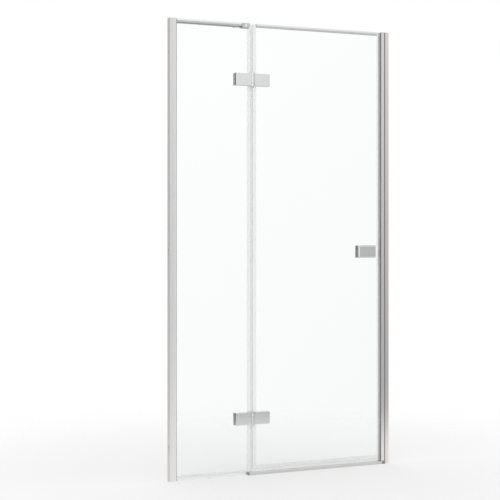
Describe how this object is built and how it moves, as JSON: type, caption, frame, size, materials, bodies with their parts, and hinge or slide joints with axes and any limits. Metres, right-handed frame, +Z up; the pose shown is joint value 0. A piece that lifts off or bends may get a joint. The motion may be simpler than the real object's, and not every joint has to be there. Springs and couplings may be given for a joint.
{
  "type": "hinged shower door",
  "caption": "Clear glass alcove shower door with a narrow fixed side pane, a hinged leaf, chrome hinges and a square chrome handle.",
  "frame": {"origin": "on the floor plane under the door, half way between the two wall faces and in the middle of the glass thickness", "axes": "+X along the door towards the closing side, +Y into the shower, +Z up; the door opens outward, towards -Y"},
  "size_m": [1.095, 0.0444, 2],
  "materials": {
    "chrome_fittings": "polished chrome plating on brass or zinc castings",
    "bright_profile": "bright polished anodised aluminium",
    "bright_trim": "bright anodised aluminium",
    "clear_glass": "clear toughened safety glass",
    "clear_seal": "clear flexible plastic",
    "grey_gasket": "soft grey rubber",
    "magnet_strip": "magnet strip bound in soft plastic",
    "white_nylon": "plain nylon",
    "steel_screws": "plain stainless steel"
  },
  "bodies": {
    "frame": {"wall_channel_left": "bright_profile", "glazing_profile_left": "bright_profile", "glazing_gasket_outer": "grey_gasket", "glazing_gasket_inner": "grey_gasket", "adjusting_screws_left": "steel_screws", "profile_cap_left": "bright_profile", "fixed_glass": "clear_glass", "fixed_top_trim": "bright_trim", "fixed_trim_gasket": "grey_gasket", "fixed_edge_seal": "clear_seal", "fixed_base_seal": "clear_seal", "support_bar": "chrome_fittings", "support_bar_bracket": "chrome_fittings", "bracket_screws": "steel_screws", "support_bar_sleeve": "chrome_fittings", "support_bar_clamp": "chrome_fittings", "clamp_pads": "grey_gasket", "clamp_screw": "bright_trim", "support_grub_screws": "steel_screws", "upper_hinge_fixed_plate": "chrome_fittings", "upper_hinge_fixed_clamp": "chrome_fittings", "upper_hinge_fixed_pads": "grey_gasket", "upper_hinge_fixed_screws": "steel_screws", "upper_hinge_pin": "steel_screws", "lower_hinge_fixed_plate": "chrome_fittings", "lower_hinge_fixed_clamp": "chrome_fittings", "lower_hinge_fixed_pads": "grey_gasket", "lower_hinge_fixed_screws": "steel_screws", "lower_hinge_pin": "steel_screws", "sill_strip": "bright_profile", "sill_end_caps": "bright_profile", "wall_channel_right": "bright_profile", "strike_profile": "bright_profile", "strike_magnet": "magnet_strip", "adjusting_screws_right": "steel_screws", "profile_cap_right": "bright_profile"},
    "leaf": {"upper_hinge_bushes": "white_nylon", "upper_hinge_leaf_plate": "chrome_fittings", "upper_hinge_leaf_clamp": "chrome_fittings", "upper_hinge_leaf_pads": "grey_gasket", "upper_hinge_leaf_screws": "steel_screws", "lower_hinge_bushes": "white_nylon", "lower_hinge_leaf_plate": "chrome_fittings", "lower_hinge_leaf_clamp": "chrome_fittings", "lower_hinge_leaf_pads": "grey_gasket", "lower_hinge_leaf_screws": "steel_screws", "leaf_glass": "clear_glass", "leaf_top_trim": "bright_trim", "leaf_trim_gasket": "grey_gasket", "leaf_hinge_seal": "clear_seal", "leaf_magnet_seal": "clear_seal", "leaf_magnet": "magnet_strip", "leaf_drip_seal": "clear_seal", "handle_outer": "chrome_fittings", "handle_inner": "chrome_fittings", "handle_washers": "clear_seal", "handle_bolts": "steel_screws", "handle_grub_screws": "steel_screws"}
  },
  "joints": [
    {"name": "door_swing", "type": "hinge", "parent": "frame", "child": "leaf", "pos_m": [-0.1515, -0.013, 1], "axis": [0, 0, -1], "range_deg": [0, 100]}
  ]
}
